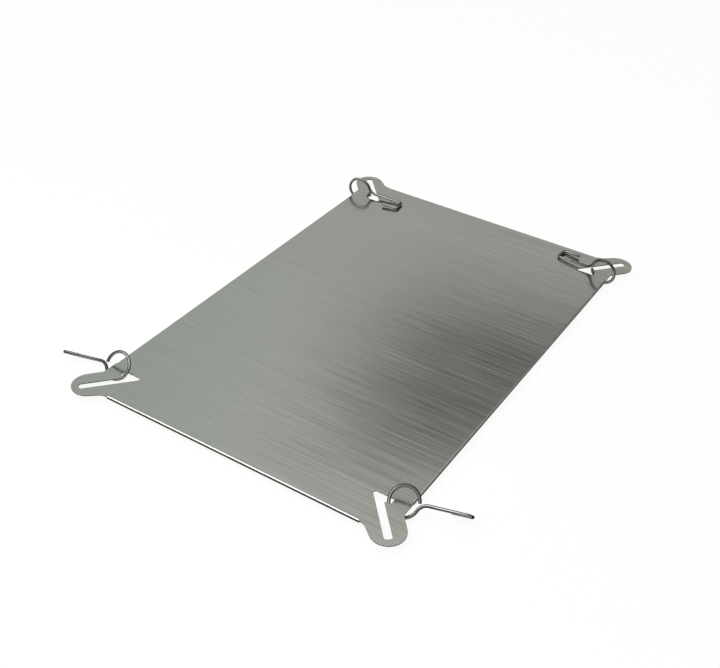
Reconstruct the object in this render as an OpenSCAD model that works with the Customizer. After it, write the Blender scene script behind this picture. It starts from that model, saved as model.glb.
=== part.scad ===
// Heat shield plate for a camp stove: one folded steel sheet with a slotted ear at each corner,
// and a wire hook threaded through every slot. X runs along the front, Y to the back, Z up.
// The origin is on the ground under the middle of the plate.

/* [Plate] */
// Width of the plate, over the outer faces of its side hems
plate_w = 266; // [200:1:400]
// Depth of the plate, over the outer faces of its front and back hems
plate_d = 400; // [250:1:600]
// Thickness of the sheet
sheet_t = 1; // [0.8:0.1:1.2]
// Height of the underside of the sheet above the ground
sheet_z = 6; // [5.6:0.1:7]

/* [Hems] */
// Open gap between the sheet and its folded flange
hem_gap = 1; // [0.6:0.1:1.6]
// Width of the folded flange, from the outer face of the fold
hem_w = 9; // [5:0.5:14]
// Distance from the corner to the end of a front or back hem
front_hem_start = 22; // [21:0.5:30]
// Distance from the corner to the end of a side hem
side_hem_start = 35; // [33:0.5:60]
// Width of the relief cut beside each hem end
relief_w = 0.6; // [0.4:0.1:2]
// How far a relief cut runs past the bend line
relief_past = 0.2; // [0.2:0.1:2]

/* [Ears] */
// Radius of the rounded ear tip
ear_tip_r = 13; // [11:0.1:15]
// Distance of the tip's centre inside the line of the side edge
ear_tip_x = 1.3; // [0:0.1:3]
// Distance of the tip's centre inside the line of the front or back edge
ear_tip_y = 3; // [1:0.1:5]
// Direction of the ear's flank that runs to the front or back edge, from the outward X
ear_front_angle = 140; // [132:1:150]
// Direction of the ear's flank that runs to the side edge, from the outward X
ear_side_angle = 131; // [122:1:138]
// Fillet where the ear meets the front or back edge
ear_front_fillet = 8; // [3:0.5:9]
// Fillet where the ear meets the side edge
ear_side_fillet = 4.5; // [2:0.5:7]

/* [Slots] */
// Width of the slanted leg of the slot
leg_w = 5.9; // [5:0.1:6.5]
// Direction of the slanted leg, from the outward X
leg_angle = 131.5; // [126:0.5:137]
// Distance of the leg's outer end past the line of the side edge
leg_end_x = 2.9; // [1:0.1:4]
// Distance of the leg's outer end past the line of the front or back edge
leg_end_y = 2.9; // [1:0.1:4]
// Distance from the front or back edge to the near side of the slot's head
head_y = 24.7; // [23:0.1:27]
// Width of the head, which runs along X
head_w = 5.9; // [5.4:0.1:7]
// Width of the strip of sheet between the head and the side edge
strip_w = 12.5; // [11:0.1:13]
// Fillet at the outer end of the leg
leg_end_fillet = 1.8; // [0.4:0.1:2.2]
// Fillet at the pointed inner end of the head
head_point_fillet = 2; // [0.6:0.1:2.5]
// Fillet at the end of the head next to the strip
head_end_fillet = 0.8; // [0.3:0.1:2]
// Rounding of the tooth where the head meets the leg
tooth_round = 0.5; // [0.2:0.1:1]

/* [Hooks] */
// Diameter of the hook wire
wire_d = 2.5; // [2:0.1:3]
// Inside diameter of the ring
ring_inside_d = 19; // [18.4:0.1:22]
// Centreline radius of the reverse bend between ring and tail
curl_r = 8; // [5:0.5:10]
// Distance of the tail's line above the ring's centre
tail_offset = 0.6; // [0:0.1:2]
// Length from the ring's centre to the far side of the squared end loop
tail_len = 45.3; // [34:0.1:60]
// Width of the end loop, from wire centre to wire centre
loop_w = 12; // [8:0.5:13]
// Centreline radius of the two corners of the end loop
loop_bend_r = 2.5; // [1.6:0.1:3.5]
// Length of the return arm, from the far side of the end loop
arm_len = 14.8; // [6:0.1:18]
// Gap between the ring's free end and the reverse bend
ring_end_gap = 0.35; // [0.3:0.05:1]

/* [How the hooks lie] */
// Lean of the front right ring towards the back
front_right_lean = 47; // [0:1:48]
// Lean of the front left ring towards the back
front_left_lean = 41; // [0:1:48]
// Turn of the front right hook about the vertical
front_right_turn = 5.5; // [0:0.1:6]
// Turn of the front left hook about the vertical
front_left_turn = 4.5; // [0:0.1:6]
// Turn of the back hooks about the vertical
back_turn = 6.4; // [0:0.1:8]
// Tail angle of the front right hook above the horizontal
front_right_tail = 7.5; // [0:0.1:90]
// Tail angle of the front left hook above the horizontal
front_left_tail = -12.5; // [-13:0.1:90]

/* [Clearances] */
// Gap between the inside of an upright ring and the strip's slotted edge
ring_play = 0.45; // [0.3:0.05:0.6]
// Gap between the wire and the near side of the slot's head
head_play = 0.4; // [0.3:0.05:1]
// Gap between the plate and a tail that is folded over it
fold_gap = 0.3; // [0.2:0.05:1]

/* [Hidden] */

// The reverse bend is this much thinner and runs on into the ring's end, which makes them one solid
join_step = 0.01;
join_angle = 1.5;
// An arc crosses the line that it rounds into by this much, so that they meet at one clean point
arc_step = 0.002;

round_sides = 64;
wire_sides = 16;
bend_sides = 48;
eps = 0.01;

plate_top = sheet_z + sheet_t;
sheet_mid = sheet_z + sheet_t / 2;
fold_r = sheet_t + hem_gap / 2;
ear_tip = [-ear_tip_x, ear_tip_y];

wire_r = wire_d / 2;
ring_r = ring_inside_d / 2 + wire_r;
// The reverse bend starts at this angle round the ring, so that the tail ends up on its line
curl_angle = asin((tail_offset - curl_r) / (ring_r + curl_r));
curl_centre = [(ring_r + curl_r) * cos(curl_angle), tail_offset - curl_r];
// The free end stops where its wire is ring_end_gap away from the reverse bend
ring_end_angle = curl_angle + acos((pow(ring_r, 2) + pow(ring_r + curl_r, 2)
    - pow(curl_r + wire_d + ring_end_gap, 2)) / (2 * ring_r * (ring_r + curl_r)));

// Upright rings are the back ones, and the strip passes inside them at the sheet's underside
upright_z = wire_r + ring_r;
inside_half = sqrt(pow(ring_inside_d / 2, 2) - pow(upright_z - sheet_z, 2));
ring_x = plate_w / 2 - strip_w - ring_play + inside_half;
back_tail = 180 + asin((upright_z - tail_offset - plate_top - wire_r - fold_gap) / tail_len);

function along(a) = [cos(a), sin(a)];

// Where the line through p at angle a meets the line through q at angle b
function meeting(p, a, q, b) =
    p + along(a) * ((q[0] - p[0]) * sin(b) - (q[1] - p[1]) * cos(b)) / sin(b - a);

// Height of the centre of a ring that stands on the ground and leans by this angle
function ring_z(lean) = wire_r + ring_r * cos(lean);

// Distance from the ring's centre to where its wire passes through the sheet, along the ring's plane
function ring_reach(lean) = sqrt(pow(ring_r, 2) - pow((ring_z(lean) - sheet_mid) / cos(lean), 2));

// Distance of the ring's centre from the front or back edge
function ring_y(lean, turn) = head_y + head_play + (wire_d / cos(lean) + sheet_t * tan(lean)) / 2
    + (ring_z(lean) - sheet_mid) * tan(lean) + ring_reach(lean) * sin(turn);

// Moves a shape drawn at a corner, X outward and Y inward, to the corner that is named
module at_corner(right, front) {
    translate([right ? plate_w / 2 : -plate_w / 2, front ? -plate_d / 2 : plate_d / 2])
        rotate(front ? 0 : 180)
            if (right == front) children();
            else mirror([1, 0]) children();
}

module at_corners() {
    for (right = [true, false])
        for (front = [true, false])
            at_corner(right, front) children();
}

// The area between a corner and the arc that rounds it. Its edges leave q at angles a and b
module corner_web(q, a, b, r) {
    half = (b - a) / 2;
    centre = q + along(a + half) * r / sin(half);
    difference() {
        polygon([q - along(a + half), q + along(a) * r / tan(half), centre, q + along(b) * r / tan(half)]);
        translate(centre) circle(r + arc_step, $fn = round_sides);
    }
}

// The flat sheet of one corner, from hem end to hem end, with the ear that sticks out of it
module ear_outline() {
    front_touch = ear_tip + along(ear_front_angle + 90) * (ear_tip_r - arc_step);
    side_touch = ear_tip + along(ear_side_angle - 90) * (ear_tip_r - arc_step);
    front_root = meeting(front_touch, ear_front_angle, [0, 0], 0);
    side_root = meeting(side_touch, ear_side_angle, [0, 0], 90);
    translate(ear_tip) circle(ear_tip_r, $fn = 2 * round_sides);
    polygon([[-front_hem_start, 0], front_root, front_touch, side_touch, side_root,
        [0, side_hem_start], [-front_hem_start, side_hem_start]]);
    corner_web(front_root, 180, ear_front_angle + 180, ear_front_fillet);
    corner_web(side_root, ear_side_angle - 180, 90, ear_side_fillet);
}

// The slot: a slanted leg that opens into a straight head, with one tooth between them
module slot_outline() {
    leg_end = [leg_end_x, -leg_end_y];
    leg_side = along(leg_angle - 90) * leg_w / 2;
    end_low = leg_end - leg_side;
    end_high = leg_end + leg_side;
    tooth = meeting(end_high, leg_angle, [0, head_y], 0);
    head_low = [-strip_w, head_y];
    head_high = [-strip_w, head_y + head_w];
    point = meeting(end_low, leg_angle, head_high, 0);
    difference() {
        polygon([end_low, end_high, tooth, head_low, head_high, point]);
        corner_web(end_low, leg_angle - 90, leg_angle, leg_end_fillet);
        corner_web(end_high, leg_angle, leg_angle + 90, leg_end_fillet);
        corner_web(point, leg_angle - 180, 0, head_point_fillet);
        corner_web(head_low, 90, 180, head_end_fillet);
        corner_web(head_high, 180, 270, head_end_fillet);
    }
    corner_web(tooth, leg_angle + 180, 360, tooth_round);
}

// Small cuts that part each hem from the ears
module relief_cuts() {
    depth = fold_r + relief_past;
    translate([-front_hem_start, -eps]) square([relief_w, depth + eps]);
    translate([-depth, side_hem_start - relief_w]) square([depth + eps, relief_w]);
}

module sheet_outline() {
    difference() {
        union() {
            square([plate_w - 2 * fold_r, plate_d - 2 * fold_r], center = true);
            at_corners() ear_outline();
        }
        at_corners() slot_outline();
        at_corners() relief_cuts();
    }
}

// Section of a hem: X runs inward from its outer face, Y is up from the top of the sheet
module hem_section() {
    difference() {
        translate([fold_r, -fold_r]) circle(fold_r, $fn = round_sides);
        translate([fold_r, -fold_r]) circle(hem_gap / 2, $fn = round_sides);
        translate([fold_r, -2 * fold_r - eps]) square([fold_r + eps, 2 * fold_r + 2 * eps]);
    }
    translate([fold_r, -2 * fold_r]) square([hem_w - fold_r, sheet_t]);
    translate([fold_r, -sheet_t]) square([fold_r, sheet_t]);
}

// A hem centred on the origin's X axis, its outer face towards -Y
module hem(length) {
    rotate([90, 0, 90])
        translate([0, 0, -length / 2])
            linear_extrude(length) hem_section();
}

module shield_plate() {
    color("silver") {
        translate([0, 0, sheet_z]) linear_extrude(sheet_t) sheet_outline();
        translate([0, 0, plate_top])
            for (turned = [0, 180])
                rotate(turned) {
                    translate([0, -plate_d / 2, 0]) hem(plate_w - 2 * front_hem_start);
                    translate([plate_w / 2, 0, 0]) rotate(90) hem(plate_d - 2 * side_hem_start);
                }
    }
}

// Wire bent round the origin's Z axis, from one angle to another
module wire_bend(r, from, to, wire = wire_r) {
    rotate(from)
        rotate_extrude(angle = to - from, $fn = bend_sides)
            translate([r, 0]) circle(wire, $fn = wire_sides);
}

// Straight wire along X
module wire_run(from, to) {
    translate([from, 0, 0])
        rotate([0, 90, 0])
            cylinder(r = wire_r, h = to - from, $fn = wire_sides);
}

// One hook: ring round the origin in the XY plane, tail along X, end loop turned square to the ring
module wire_hook() {
    bend_x = tail_len - loop_bend_r;
    loop_half = loop_w / 2 - loop_bend_r;
    wire_bend(ring_r, ring_end_angle, 360 + curl_angle);
    translate(curl_centre) wire_bend(curl_r, 90, 180 + curl_angle + join_angle, wire_r - join_step);
    translate([0, tail_offset, 0]) {
        wire_run(curl_centre[0], bend_x);
        translate([0, 0, -loop_w]) wire_run(tail_len - arm_len, bend_x);
    }
    // The end loop's two corners, and the straight end between them
    translate([bend_x, tail_offset, -loop_w / 2])
        rotate([90, 0, 0]) {
            translate([0, loop_half]) wire_bend(loop_bend_r, 0, 90);
            translate([0, -loop_half]) wire_bend(loop_bend_r, -90, 0);
        }
    translate([tail_len, tail_offset, -loop_w / 2])
        rotate([0, 90, 0]) wire_run(-loop_half, loop_half);
}

// A hook in its slot. The left hooks are the same part turned about the vertical
module hook_in_slot(right, front, lean, turn, tail) {
    side = right ? 1 : -1;
    end = front ? 1 : -1;
    translate([side * ring_x, end * (ring_y(lean, turn) - plate_d / 2), ring_z(lean)])
        rotate([0, 0, side * end * turn + (right ? 0 : 180)])
            rotate([90 - side * lean, 0, 0])
                rotate(tail)
                    wire_hook();
}

module hook_front_right() {
    color("gainsboro") hook_in_slot(true, true, front_right_lean, front_right_turn, front_right_tail);
}

module hook_front_left() {
    color("gainsboro") hook_in_slot(false, true, front_left_lean, front_left_turn, front_left_tail);
}

module hook_back_right() {
    color("gainsboro") hook_in_slot(true, false, 0, back_turn, back_tail);
}

module hook_back_left() {
    color("gainsboro") hook_in_slot(false, false, 0, back_turn, back_tail);
}

shield_plate();
hook_front_right();
hook_front_left();
hook_back_right();
hook_back_left();
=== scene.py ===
# %% [markdown]
# # A heat shield in brushed steel
# The shield is one folded steel sheet with a slotted ear at each corner, and a wire hook hangs in
# every slot. The CAD part has each shape at its real size. This script gives the sheet fine edges
# and a brushed finish, bends the wire of the hooks again with more care, and sets up a small
# studio.

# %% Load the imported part
import math

import bpy
from mathutils import Matrix, Vector
from mathutils.kdtree import KDTree


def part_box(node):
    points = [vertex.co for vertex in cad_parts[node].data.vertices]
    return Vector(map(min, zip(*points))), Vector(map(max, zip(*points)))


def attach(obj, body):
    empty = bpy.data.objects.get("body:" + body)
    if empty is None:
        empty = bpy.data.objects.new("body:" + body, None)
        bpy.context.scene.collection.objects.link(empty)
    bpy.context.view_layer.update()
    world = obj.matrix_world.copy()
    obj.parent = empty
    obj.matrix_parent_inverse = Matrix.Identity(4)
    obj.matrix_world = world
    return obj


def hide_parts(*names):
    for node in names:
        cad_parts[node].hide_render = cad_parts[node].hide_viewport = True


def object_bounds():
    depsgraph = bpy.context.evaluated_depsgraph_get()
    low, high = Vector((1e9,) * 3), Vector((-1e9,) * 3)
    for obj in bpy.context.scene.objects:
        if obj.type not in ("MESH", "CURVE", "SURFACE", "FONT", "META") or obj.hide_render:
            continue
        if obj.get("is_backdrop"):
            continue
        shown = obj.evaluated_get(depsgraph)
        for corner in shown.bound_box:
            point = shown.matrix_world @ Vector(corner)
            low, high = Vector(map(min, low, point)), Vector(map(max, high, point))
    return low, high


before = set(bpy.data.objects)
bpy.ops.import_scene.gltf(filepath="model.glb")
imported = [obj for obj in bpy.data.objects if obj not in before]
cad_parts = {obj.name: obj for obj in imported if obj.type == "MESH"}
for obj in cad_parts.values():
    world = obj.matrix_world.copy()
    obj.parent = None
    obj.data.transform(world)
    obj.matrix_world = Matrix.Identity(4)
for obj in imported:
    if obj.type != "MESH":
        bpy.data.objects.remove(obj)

MM = 0.001


def corners():
    """The object's lowest and highest corner, as plain lists."""
    low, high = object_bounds()
    return [list(low), list(high)]


bounds_at_load = corners()
for name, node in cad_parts.items():
    print(name, len(node.data.polygons), "triangles")

# %% [markdown]
# ## Shader maths in Python
# A material is a tree of nodes. Writing `noise * 0.2 + 0.3` is easier to read than three nodes and
# four links, so a small class wraps a socket and every operator adds the Math node that it stands
# for. The reflected form `__rsub__` lets a plain number stand on the left of a minus sign.

# %% Values
class Value:
    """One output socket of a node tree, with arithmetic."""

    def __init__(self, shader, socket):
        self.shader, self.socket = shader, socket

    def math(self, operation, *others):
        terms = dict(enumerate((self, *others)))
        return self.shader.node("ShaderNodeMath", {"operation": operation}, terms)["Value"]

    def __add__(self, other):
        return self.math("ADD", other)

    def __sub__(self, other):
        return self.math("SUBTRACT", other)

    def __rsub__(self, other):
        return (self * -1).math("ADD", other)

    def __mul__(self, other):
        return self.math("MULTIPLY", other)

    def __abs__(self):
        return self.math("ABSOLUTE")

    def step(self, low, high):
        """0 below low, 1 above high, and smooth in between."""
        made = self.shader.node(
            "ShaderNodeMapRange",
            {"interpolation_type": "SMOOTHSTEP"},
            {"Value": self, "From Min": low, "From Max": high},
        )
        return made["Result"]


# %% [markdown]
# ## One class for every tree
# Materials and the world keep their nodes in the same kind of tree. One method makes any node from
# its settings and inputs, and an input that is a Value becomes a link. Noise and colour mixing are
# needed all the time, so they have short methods of their own.

# %% Shaders
MIX_SHARE, MIX_ONE, MIX_OTHER, MIXED = 0, 6, 7, 2  # the Mix node's colour sockets, by number


class Shader:
    """A material's node tree, filled by one method that makes any node."""

    def __init__(self, owner):
        owner.use_nodes = True
        self.owner, self.tree = owner, owner.node_tree
        self.tree.nodes.clear()

    def node(self, kind, settings=(), inputs=()):
        """Makes a node from its settings and inputs, and gives its outputs by name."""
        made = self.tree.nodes.new(kind)
        for key, value in dict(settings).items():
            if key == "stops":
                ramp = made.color_ramp
                while len(ramp.elements) < len(value):
                    ramp.elements.new(0.5)
                for element, (place, colour) in zip(ramp.elements, value):
                    element.position, element.color = place, (*colour, 1)
            else:
                setattr(made, key, value)
        for key, value in dict(inputs).items():
            if isinstance(value, Value):
                self.tree.links.new(value.socket, made.inputs[key])
            else:
                made.inputs[key].default_value = value
        return {socket.name: Value(self, socket) for socket in made.outputs if socket.enabled}

    def noise(self, place, grains, detail=2.0):
        """Soft noise from 0 to 1, with this many grains to the metre along each axis."""
        moved = self.node("ShaderNodeMapping", {}, {"Vector": place, "Scale": grains})
        pattern = {"Vector": moved["Vector"], "Scale": 1.0, "Detail": detail}
        return self.node("ShaderNodeTexNoise", {}, pattern)["Fac"]

    def mix(self, share, one, other):
        """A colour between one, at share 0, and other, at share 1."""
        made = self.tree.nodes.new("ShaderNodeMix")
        made.data_type = "RGBA"
        for index, value in ((MIX_SHARE, share), (MIX_ONE, one), (MIX_OTHER, other)):
            if isinstance(value, Value):
                self.tree.links.new(value.socket, made.inputs[index])
            else:
                made.inputs[index].default_value = value if index == MIX_SHARE else (*value, 1)
        return Value(self, made.outputs[MIXED])


def finish_metal(shader, colour, roughness, height, depth, edge_glare):
    """Ends a metal's tree: base colour, roughness, a bump of the height map (depth in metres) and
    how much of the usual glare is left where the surface turns away."""
    bump = shader.node("ShaderNodeBump", {}, {"Strength": 1.0, "Distance": depth, "Height": height})
    metal = shader.node(
        "ShaderNodeBsdfPrincipled",
        {},
        {
            "Base Color": colour,
            "Metallic": 1.0,
            "Roughness": roughness,
            "Normal": bump["Normal"],
            "Specular Tint": (edge_glare, edge_glare, edge_glare, 1),
        },
    )
    shader.node("ShaderNodeOutputMaterial", {}, {"Surface": metal["BSDF"]})
    return shader.owner


# %% [markdown]
# ## Brushed sheet
# A brushed finish is thousands of fine parallel scratches from an abrasive belt. They run along the
# front edge of this sheet, so the noise has few grains along X and many along Y. The scratches are
# stronger on the right half. The cut edges and the folds are plain metal, so the scratches fade
# where the surface isn't flat. There the colour is painted shade: a steel grey where the surface
# faces up, and near black where it faces sideways or down, so an upright cut edge and the lower
# side of a fold get a painted dark line. They are also rougher.

# %% The sheet's steel
SCRATCH_DARK, SCRATCH_PALE = (0.40, 0.413, 0.378), (0.64, 0.655, 0.612)
# The near-black edge colour is painted shade, for cut edges and folds that face sideways or down.
EDGE_PAINTED_SHADE, FOLD_CREST = (0.045, 0.045, 0.042), (0.50, 0.50, 0.48)
SHEET_ROUGHNESS, FOLD_ROUGHNESS = 0.19, 0.28
SCRATCH_DEPTH = 0.004 * MM


def sheet_steel():
    shader = Shader(bpy.data.materials.new("sheet_steel"))
    place = shader.node("ShaderNodeTexCoord")["Object"]
    fine = shader.noise(place, (30, 3000, 900), detail=3.0)
    coarse = shader.noise(place, (14, 850, 300))
    long_marks = shader.noise(place, (5, 480, 100))
    clouds = shader.noise(place, (9, 14, 14))
    normal = shader.node("ShaderNodeNewGeometry")["Normal"]
    upright = shader.node("ShaderNodeSeparateXYZ", {}, {"Vector": normal})["Z"]
    sideways = shader.node("ShaderNodeSeparateXYZ", {}, {"Vector": place})["X"]
    flat = abs(upright).step(0.80, 0.97)
    crest = upright.step(0.45, 0.75)
    # The scratches are stronger on the right half.
    scratch_strength = sideways.step(-60 * MM, 70 * MM) * 0.75 + 0.35
    scratches = (fine - 0.5) * 0.4 + (coarse - 0.5) * 1.3 + (long_marks - 0.5) * 0.7
    brushed = shader.mix(scratch_strength * scratches + 0.5, SCRATCH_DARK, SCRATCH_PALE)
    # Painted shade: edges and folds are grey where they face up and near black where they face
    # sideways or down.
    plain = shader.mix(crest, EDGE_PAINTED_SHADE, FOLD_CREST)
    colour = shader.mix(flat, plain, brushed)
    uneven = (coarse - 0.5) * 0.10 + (clouds - 0.5) * 0.08
    roughness = flat * (uneven - (FOLD_ROUGHNESS - SHEET_ROUGHNESS)) + FOLD_ROUGHNESS
    height = flat * (fine * 0.2 + coarse * 0.6 + long_marks * 0.6)
    return finish_metal(shader, colour, roughness, height, SCRATCH_DEPTH, edge_glare=1.0)


# %% [markdown]
# ## Drawn wire
# The hooks are bent from hard drawn wire, with fine dark drag marks that follow the wire round
# every bend. The die leaves real wire bright, but here its colour is painted dark reflection: both
# ends of its range are far darker than bright steel, for the dark room that the wire mirrors. Broad
# stripes along the wire are partly grooves and partly painted reflection lines, dark and pale. A
# pattern in space would cut straight through the bends, so this one reads an attribute that says
# how far along the wire a point is, and where round it.

# %% The hooks' steel
WIRE_PLACE = "wire_place"
# The wire's colour is painted dark reflection: its dark end is near black, and even its pale end is
# far below bright steel.
WIRE_PAINTED_DARK, WIRE_PALE = (0.045, 0.045, 0.0425), (0.32, 0.32, 0.304)
WIRE_ROUGHNESS = 0.20
DRAG_DEPTH = 0.003 * MM


def wire_steel():
    shader = Shader(bpy.data.materials.new("wire_steel"))
    place = shader.node("ShaderNodeAttribute", {"attribute_name": WIRE_PLACE})["Vector"]
    marks = shader.noise(place, (60, 2600, 2600), detail=3.0)
    # These broad stripes along the wire are partly grooves and partly painted reflection lines.
    grooves_and_painted_bands = shader.noise(place, (22, 800, 800), detail=1.0)
    clouds = shader.noise(place, (90, 260, 260))
    share = (marks - 0.5) * 0.7 + (clouds - 0.5) * 0.5 + grooves_and_painted_bands.step(0.36, 0.64)
    colour = shader.mix(share, WIRE_PAINTED_DARK, WIRE_PALE)
    roughness = (marks - 0.5) * 0.10 + (clouds - 0.5) * 0.08 + WIRE_ROUGHNESS
    height = marks * 0.4 + grooves_and_painted_bands * 0.6
    return finish_metal(shader, colour, roughness, height, DRAG_DEPTH, edge_glare=0.0)


steels = {"sheet_steel": sheet_steel(), "wire_steel": wire_steel()}
for name, steel in steels.items():
    print(name, "has", len(steel.node_tree.nodes), "nodes")

# %% [markdown]
# ## Helpers for modelling
# Every operator acts on what is selected, so each step starts by selecting nothing. Then it picks
# points, edges or faces by a test that says which of them are wanted.

# %% Selecting by place
def select_only(piece):
    bpy.ops.object.select_all(action="DESELECT")
    piece.select_set(True)
    bpy.context.view_layer.objects.active = piece


def pick(piece, kind, chosen):
    """In object mode, selects only the vertices, edges or polygons for which chosen is true."""
    kinds = ("vertices", "edges", "polygons")
    bpy.context.tool_settings.mesh_select_mode = [kind == each for each in kinds]
    for group in (getattr(piece.data, each) for each in kinds):
        group.foreach_set("select", [False] * len(group))
    found = 0
    for element in getattr(piece.data, kind):
        element.select = chosen(element)
        found += element.select
    return found


# %% [markdown]
# ## Dressing a piece
# Its size is printed, so that a slip shows at once.

# %% Dressing
def min_corner(piece):
    return [min(vertex.co[axis] for vertex in piece.data.vertices) for axis in range(3)]


def max_corner(piece):
    return [max(vertex.co[axis] for vertex in piece.data.vertices) for axis in range(3)]


def in_mm(piece, digits):
    """The piece's lowest and highest corner in one list of millimetres."""
    return [round(value / MM, digits) for value in (*min_corner(piece), *max_corner(piece))]


def dress(piece, slot, body, node):
    """Gives a piece its steel, and ties it to the CAD body whose node it stands for."""
    piece.data.materials.clear()
    piece.data.materials.append(steels[slot])
    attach(piece, body)
    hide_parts(node)
    print(piece.name, len(piece.data.polygons), "faces, mm", in_mm(piece, 1))


# %% [markdown]
# ## The folded sheet
# A shear cuts the blank and a press folds its edges under, and every cut edge keeps a tiny worn
# chamfer that catches the light. The CAD solid has the whole shape, but its edges are perfectly
# sharp. So a copy of its mesh is merged, its flat faces are joined up again, and a narrow bevel
# breaks the edges. Weighted normals then keep the big flat faces flat in the light. The CAD node
# itself stays as it is and is hidden.

# %% The sheet with broken edges
SHEET_MERGE = 0.002 * MM
FLAT_WITHIN = math.radians(0.5)
EDGE_BREAK = 0.12 * MM
SHARP = math.radians(40)
SHEET_SMOOTH = math.radians(35)

sheet = bpy.data.objects.new("folded_sheet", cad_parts["shield_plate"].data.copy())
bpy.context.scene.collection.objects.link(sheet)
select_only(sheet)
bpy.ops.object.mode_set(mode="EDIT")
bpy.ops.mesh.select_all(action="SELECT")
bpy.ops.mesh.remove_doubles(threshold=SHEET_MERGE)
bpy.ops.mesh.dissolve_limited(angle_limit=FLAT_WITHIN, delimit={"NORMAL"})
bpy.ops.object.mode_set(mode="OBJECT")
print("joined up to", len(sheet.data.polygons), "faces")
broken = sheet.modifiers.new("broken edges", "BEVEL")
broken.width, broken.segments = EDGE_BREAK, 2
broken.limit_method, broken.angle_limit = "ANGLE", SHARP
bpy.ops.object.modifier_apply(modifier=broken.name)
bpy.ops.object.shade_smooth_by_angle(angle=SHEET_SMOOTH)
weighted = sheet.modifiers.new("flat faces lead", "WEIGHTED_NORMAL")
weighted.mode, weighted.weight, weighted.keep_sharp = "FACE_AREA", 100, True
bpy.ops.object.modifier_apply(modifier=weighted.name)
dress(sheet, "sheet_steel", "plate", "shield_plate")

# %% [markdown]
# ## One hook, in numbers
# The real hook is a straight wire bent round a few pins: nearly a full turn for the ring, a reverse
# bend, a straight tail, and a squared loop that turns back. The reverse bend touches the ring's
# circle and the tail's line, which sets its centre and its angle. The ring's free end stops just
# short of that bend.

# %% The wire's sizes
WIRE_R = 1.25 * MM
RING_R = 10.75 * MM
CURL_R = 8.0 * MM
TAIL_OFFSET = 0.6 * MM
TAIL_LENGTH = 45.3 * MM
LOOP_WIDTH = 12.0 * MM
LOOP_BEND_R = 2.5 * MM
ARM_LENGTH = 14.8 * MM
RING_END_GAP = 0.02 * MM
WIRE_SIDES = 24
RING_STEPS, CURL_STEPS, LOOP_STEPS = 96, 24, 14
QUARTER_TURN, HALF_TURN, FULL_TURN = (math.radians(angle) for angle in (90, 180, 360))

reach = RING_R + CURL_R
curl_angle = math.asin((TAIL_OFFSET - CURL_R) / reach)
curl_centre = Vector((reach * math.cos(curl_angle), TAIL_OFFSET - CURL_R, 0))
near = CURL_R + 2 * WIRE_R + RING_END_GAP
free_angle = curl_angle + math.acos((RING_R**2 + reach**2 - near**2) / (2 * RING_R * reach))
ring_turn = FULL_TURN + curl_angle - free_angle
bend_x = TAIL_LENGTH - LOOP_BEND_R
print("ring of", round(math.degrees(ring_turn), 1), "degrees")

# %% [markdown]
# ## Bending the wire
# The hook is modelled in the order in which it is bent, lying flat, with its ring round the origin
# and its tail along X. A circle is the wire's section. Spin bends it round a pin, and extrude draws
# it out straight. At the end the doubled points are merged and both ends are closed.

# %% Bending it
WIRE_MERGE = 0.001 * MM


def bend(centre, axis, angle, steps):
    """Bends the open end round a pin. Spin counts its angle the other way round the axis."""
    bpy.ops.mesh.spin(steps=steps, angle=-angle, center=centre, axis=axis)


def draw_out(direction, length):
    """Extrudes the open end of the wire straight on."""
    move = {"value": Vector(direction) * length}
    bpy.ops.mesh.extrude_region_move(TRANSFORM_OT_translate=move)


def bent_wire():
    bpy.ops.object.select_all(action="DESELECT")
    bpy.ops.mesh.primitive_circle_add(
        vertices=WIRE_SIDES,
        radius=WIRE_R,
        location=(RING_R * math.cos(free_angle), RING_R * math.sin(free_angle), 0),
        rotation=(QUARTER_TURN, 0, free_angle),
    )
    hook = bpy.context.object
    bpy.ops.object.transform_apply(location=True, rotation=True, scale=True)
    bpy.ops.object.mode_set(mode="EDIT")
    bpy.context.tool_settings.mesh_select_mode = (False, True, False)
    bpy.ops.mesh.select_all(action="SELECT")
    bend((0, 0, 0), (0, 0, 1), ring_turn, RING_STEPS)
    bend(curl_centre, (0, 0, -1), QUARTER_TURN + curl_angle, CURL_STEPS)
    draw_out((1, 0, 0), bend_x - curl_centre.x)
    bend((bend_x, TAIL_OFFSET, -LOOP_BEND_R), (0, 1, 0), QUARTER_TURN, LOOP_STEPS)
    draw_out((0, 0, -1), LOOP_WIDTH - 2 * LOOP_BEND_R)
    bend((bend_x, TAIL_OFFSET, LOOP_BEND_R - LOOP_WIDTH), (0, 1, 0), QUARTER_TURN, LOOP_STEPS)
    draw_out((-1, 0, 0), ARM_LENGTH - LOOP_BEND_R)
    bpy.ops.mesh.select_all(action="SELECT")
    bpy.ops.mesh.remove_doubles(threshold=WIRE_MERGE)
    bpy.ops.mesh.fill_holes(sides=0)
    bpy.ops.mesh.normals_make_consistent(inside=False)
    bpy.ops.object.mode_set(mode="OBJECT")
    return hook


hook = bent_wire()
print("wire of", len(hook.data.vertices), "points, mm", in_mm(hook, 2))

# %% [markdown]
# ## Cut ends
# Cutters leave a flat end, and tumbling rounds its rim. The two end caps are the only faces with as
# many corners as the wire has sides, so they are easy to pick. Their rims are bevelled.

# %% Rounded ends
RIM_ROUND = 0.2 * MM
WIRE_SMOOTH = math.radians(40)

caps = pick(hook, "polygons", lambda face: len(face.vertices) == WIRE_SIDES)
bpy.ops.object.mode_set(mode="EDIT")
bpy.ops.mesh.region_to_loop()
bpy.ops.mesh.bevel(offset=RIM_ROUND, segments=3, affect="EDGES")
bpy.ops.object.mode_set(mode="OBJECT")
select_only(hook)
bpy.ops.object.shade_smooth_by_angle(angle=WIRE_SMOOTH)
print(caps, "ends rounded")

# %% [markdown]
# ## The wire's centre line
# The finish needs to know where each point is on the wire. The same arcs and straights that bent
# the hook are walked along again in small steps, and each step gives a point and a direction.

# %% Centre line
STEP = 0.4 * MM


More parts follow.
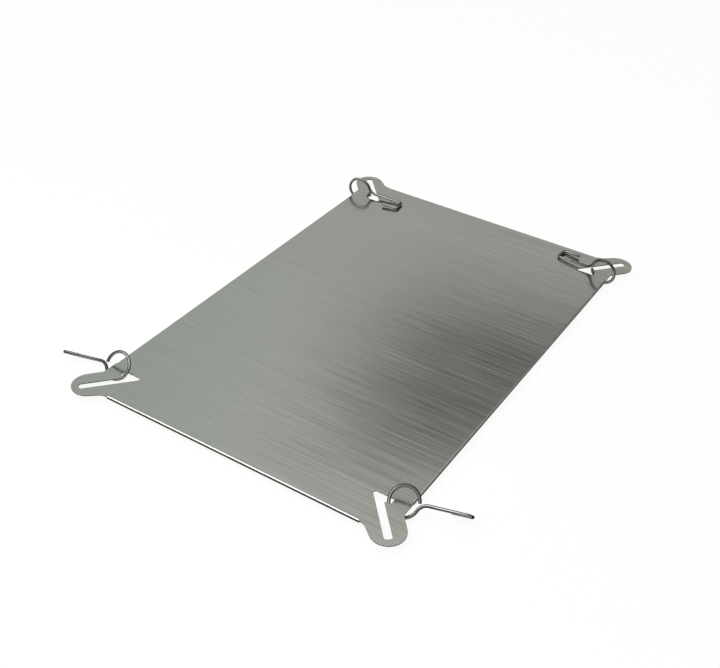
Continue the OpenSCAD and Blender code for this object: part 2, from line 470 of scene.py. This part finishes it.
def arc(centre, radius, start, angle, toward, across):
    """Samples round a pin. The start angle is counted from toward to across."""
    count = max(2, round(abs(angle) * radius / STEP))
    for index in range(count + 1):
        turned = start + angle * index / count
        outward = toward * math.cos(turned) + across * math.sin(turned)
        onward = across * math.cos(turned) - toward * math.sin(turned)
        yield centre + outward * radius, onward * math.copysign(1, angle)


def line(start, end):
    """Samples along a straight."""
    count = max(2, round((end - start).length / STEP))
    for index in range(count + 1):
        yield start.lerp(end, index / count), (end - start).normalized()


def centre_line():
    """Points and directions of the wire's middle, from the ring's free end to the loop's."""
    x, y, z = Vector((1, 0, 0)), Vector((0, 1, 0)), Vector((0, 0, 1))
    origin, tail = Vector((0, 0, 0)), Vector((0, TAIL_OFFSET, 0))
    corner, low = tail + x * bend_x, z * (LOOP_WIDTH - LOOP_BEND_R)
    end = tail + x * TAIL_LENGTH
    return [
        *arc(origin, RING_R, free_angle, ring_turn, x, y),
        *arc(curl_centre, CURL_R, HALF_TURN + curl_angle, -QUARTER_TURN - curl_angle, x, y),
        *line(tail + x * curl_centre.x, corner),
        *arc(corner - z * LOOP_BEND_R, LOOP_BEND_R, QUARTER_TURN, -QUARTER_TURN, x, z),
        *line(end - z * LOOP_BEND_R, end - low),
        *arc(corner - low, LOOP_BEND_R, 0, -QUARTER_TURN, x, z),
        *line(corner - z * LOOP_WIDTH, end - x * ARM_LENGTH - z * LOOP_WIDTH),
    ]


# %% [markdown]
# ## Where each point is on the wire
# Every point of the mesh looks up its nearest sample, and keeps three numbers: the distance along
# the wire, and its place across the section. They are counted from directions that don't twist, so
# that the drag marks run on from one bend into the next.

# %% Places along the wire
ON_LOOP = 0.1 * MM  # the end loop drops further than this below the ring's plane


def mark_wire(piece):
    samples = centre_line()
    tree = KDTree(len(samples))
    along, lengths = 0.0, []
    for index, (point, _) in enumerate(samples):
        along += (point - samples[index - 1][0]).length if index else 0.0
        lengths.append(along)
        tree.insert(point, index)
    tree.balance()
    values = []
    for vertex in piece.data.vertices:
        point, index, _ = tree.find(vertex.co)
        onward = samples[index][1]
        offset = vertex.co - point
        if abs(onward.z) > 0.001 or point.z < -ON_LOOP:
            side, other = offset.y, offset.dot(onward.cross(Vector((0, 1, 0))))
        else:
            side, other = offset.dot(Vector((-onward.y, onward.x, 0))), -offset.z
        values += [lengths[index] + offset.dot(onward), side, other]
    attribute = piece.data.attributes.new(WIRE_PLACE, "FLOAT_VECTOR", "POINT")
    attribute.data.foreach_set("vector", values)
    return along


print("wire length", round(mark_wire(hook) / MM, 1), "mm")

# %% [markdown]
# ## Four hooks in their slots
# All four hooks are the same bent wire. Each is a copy with its own mesh, turned and moved to where
# the CAD hook hangs: first the swing of its tail about the ring's axis, then the lean of the ring,
# then its small turn about the vertical. A back hook is folded in until its loop nearly touches the
# sheet. The place goes into the mesh, so that the object stays at the origin.

# %% Hooks in place
RING_X = 127.4155
BACK_RING_Y, BACK_RING_Z = 172.6204, 12.0
SHEET_TOP, LOOP_CLEAR = 7.0, 0.3
BACK_TURN = 6.4
back_drop = BACK_RING_Z - SHEET_TOP - LOOP_CLEAR - (TAIL_OFFSET + WIRE_R) / MM
BACK_TAIL = 180 + math.degrees(math.asin(back_drop * MM / TAIL_LENGTH))
HOOKS = {
    # corner: ring centre in mm, then lean, turn and tail angle in degrees
    "front_right": ((RING_X, -169.3109, 8.5815), 47.0, 5.5, 7.5),
    "front_left": ((-RING_X, -169.5310, 9.3631), 41.0, 4.5, -12.5),
    "back_right": ((RING_X, BACK_RING_Y, BACK_RING_Z), 0.0, BACK_TURN, BACK_TAIL),
    "back_left": ((-RING_X, BACK_RING_Y, BACK_RING_Z), 0.0, BACK_TURN, BACK_TAIL),
}


def hang(corner, centre, lean, turn, tail):
    side = 1 if "right" in corner else -1
    end = 1 if "front" in corner else -1
    placed = bpy.data.objects.new("wire_hook_" + corner, hook.data.copy())
    bpy.context.scene.collection.objects.link(placed)
    heading = side * end * turn + (0 if side > 0 else 180)
    placed.data.transform(
        Matrix.Translation(Vector(centre) * MM)
        @ Matrix.Rotation(math.radians(heading), 4, "Z")
        @ Matrix.Rotation(math.radians(90 - side * lean), 4, "X")
        @ Matrix.Rotation(math.radians(tail), 4, "Z")
    )
    dress(placed, "wire_steel", corner + "_hook", "hook_" + corner)
    cad_low, cad_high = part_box("hook_" + corner)
    shown = (*min_corner(placed), *max_corner(placed))
    off = max(abs(mine - cads) for mine, cads in zip(shown, (*cad_low, *cad_high)))
    print("  off the CAD box by", round(off / MM, 3), "mm")


for corner, pose in HOOKS.items():
    hang(corner, *pose)
bpy.data.objects.remove(hook)

# %% [markdown]
# ## A white table
# The part lies on a plain white table. Seen by the camera, or in a reflection, the table is mostly
# its own white with a little of its real shading, so it stays white and keeps a faint, soft shadow.

# %% Floor
TABLE_SIZE = 12.0
TABLE_DROP = 0.2 * MM
TABLE_GREY = (0.90, 0.90, 0.90, 1)
FLOOR_WHITE_SHARE = 0.90


def seen_directly(shader):
    """1 for rays from the camera, a mirror or glass, and 0 for rays that only light a surface."""
    ray = shader.node("ShaderNodeLightPath")
    return ray["Is Camera Ray"] + ray["Is Glossy Ray"] + ray["Is Transmission Ray"]


bpy.ops.object.select_all(action="DESELECT")
bpy.ops.mesh.primitive_plane_add(size=TABLE_SIZE, location=(0, 0, -TABLE_DROP))
floor = bpy.context.object
floor.name = "floor"
floor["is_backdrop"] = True
shader = Shader(bpy.data.materials.new("white_table"))
shaded = shader.node("ShaderNodeBsdfDiffuse", {}, {"Color": TABLE_GREY})["BSDF"]
glow = {"Color": (1, 1, 1, 1), "Strength": 1.0}
white = shader.node("ShaderNodeEmission", {}, glow)["Emission"]
share = seen_directly(shader) * FLOOR_WHITE_SHARE
table = shader.node("ShaderNodeMixShader", {}, {0: share, 1: shaded, 2: white})["Shader"]
shader.node("ShaderNodeOutputMaterial", {}, {"Surface": table})
floor.data.materials.append(shader.owner)
print("table of", TABLE_SIZE, "m, lying", round(TABLE_DROP / MM, 1), "mm below the part")

# %% [markdown]
# ## The room
# Polished steel shows what stands round it. White walls all round would leave it flat and pale, so
# a photographer sets grey boards beyond the white table, and the steel gets dark lines and soft
# tones. The backdrop is white up to just above the horizon. Over it the boards start dark and get
# lighter towards the ceiling. Behind the part a grey board stands on the left and a dark one on the
# right, and a pale one in front of it brightens the wires. Heights are the Z of a direction, and
# every board has soft edges, so each edge is given as its start and end.

# %% Surroundings
WHITE = (1, 1, 1)
BACKDROP_EDGE = (0.05, 0.09)
BOARDS = [
    (0.00, (0.04, 0.04, 0.038)),
    (0.28, (0.07, 0.07, 0.066)),
    (0.42, (0.50, 0.505, 0.485)),
    (0.52, (0.68, 0.685, 0.655)),
    (0.70, (0.66, 0.665, 0.635)),
    (0.80, (0.92, 0.92, 0.90)),
]
LEFT_BOARD, LEFT_BAND = (0.51, 0.555, 0.53), ((0.42, 0.52), (0.72, 0.80))
DARK_BOARD, DARK_BAND = (0.04, 0.041, 0.038), ((0.535, 0.59), (0.65, 0.71))
FRONT_BOARD, FRONT_BAND = (0.9, 0.9, 0.88), ((0.42, 0.50), (0.72, 0.80))


def band(height, low_edge, high_edge):
    """1 between two soft edges, and 0 below and above them."""
    return height.step(*low_edge) * (1 - height.step(*high_edge))


world = bpy.data.worlds.new("studio")
bpy.context.scene.world = world
shader = Shader(world)
direction = shader.node("ShaderNodeTexCoord")["Generated"]
split = shader.node("ShaderNodeSeparateXYZ", {}, {"Vector": direction})
across, away, height = split["X"], split["Y"], split["Z"]
boards = shader.node("ShaderNodeValToRGB", {"stops": BOARDS}, {"Fac": height})["Color"]
behind, ahead = away.step(0.2, 0.5), 1 - away.step(-0.45, -0.15)
left, right = 1 - across.step(-0.62, -0.38), across.step(-0.47, -0.34)
boards = shader.mix(behind * left * band(height, *LEFT_BAND), boards, LEFT_BOARD)
boards = shader.mix(behind * right * band(height, *DARK_BAND), boards, DARK_BOARD)
boards = shader.mix(ahead * band(height, *FRONT_BAND), boards, FRONT_BOARD)
seen = shader.mix(1 - height.step(*BACKDROP_EDGE), boards, WHITE)
seen = shader.mix(shader.node("ShaderNodeLightPath")["Is Camera Ray"], seen, WHITE)
room = shader.node("ShaderNodeBackground", {}, {"Color": seen, "Strength": 1.0})
shader.node("ShaderNodeOutputWorld", {}, {"Surface": room["Background"]})
print(len(world.node_tree.nodes), "nodes in the room")

# %% [markdown]
# ## Two lamps
# A large soft lamp high at the front left gives the faint shadow. A long, narrow one hangs low over
# the front edge, and draws the bright line that runs along each wire and along the sheet's fold.
# Both are weak, so that the sheet doesn't clip to white where it mirrors them.

# %% Lamps
def soft_lamp(name, place, aim, width, depth, power):
    """A rectangular lamp at a place, turned to face the aim. Sizes in metres, power in watts."""
    lamp = bpy.data.lights.new(name, "AREA")
    lamp.shape, lamp.size, lamp.size_y, lamp.energy = "RECTANGLE", width, depth, power
    holder = bpy.data.objects.new(name, lamp)
    bpy.context.scene.collection.objects.link(holder)
    holder.location = place
    facing = Vector(aim) - Vector(place)
    holder.rotation_euler = facing.to_track_quat("-Z", "Y").to_euler()
    print(name, "lamp", round(facing.length, 2), "m away")


soft_lamp("key", place=(-0.75, -0.7, 1.7), aim=(0, 0, 0), width=2.2, depth=1.5, power=10)
soft_lamp("strip", place=(-0.18, -0.5, 0.75), aim=(-0.18, -0.17, 0), width=1.4, depth=0.12, power=3)

# %% [markdown]
# ## Camera
# The camera stands in front of the part, to the right and above, and is rolled a little. Its place,
# angles and lens come from the sheet's four corners in the photograph.

# %% Camera
CAMERA_PLACE = Vector((369.0, -632.7, 523.6)) * MM
AZIMUTH, ELEVATION, ROLL = 31.289, 35.996, 2.440
LENS, SENSOR = 54.393, 36.0

camera = bpy.data.objects.new("camera", bpy.data.cameras.new("camera"))
bpy.context.scene.collection.objects.link(camera)
camera.matrix_world = (
    Matrix.Translation(CAMERA_PLACE)
    @ Matrix.Rotation(math.radians(AZIMUTH), 4, "Z")
    @ Matrix.Rotation(math.radians(90 - ELEVATION), 4, "X")
    @ Matrix.Rotation(math.radians(ROLL), 4, "Z")
)
camera.data.lens, camera.data.sensor_width = LENS, SENSOR
camera.data.clip_start = 0.01
bpy.context.scene.camera = camera
bpy.context.scene.view_settings.view_transform = "Standard"
print("camera at", [round(value, 3) for value in CAMERA_PLACE], "m")

# %% [markdown]
# ## Size
# Both boxes are kept, the CAD part's at load and the visible model's now, and the visible model's
# size is printed. The visible model has to stay inside the CAD part's box.

# %% Size and finish
sizes = {"cad": bounds_at_load, "shown": corners()}
print("size in mm", [round((high - low) / MM, 1) for low, high in zip(*sizes["shown"])])
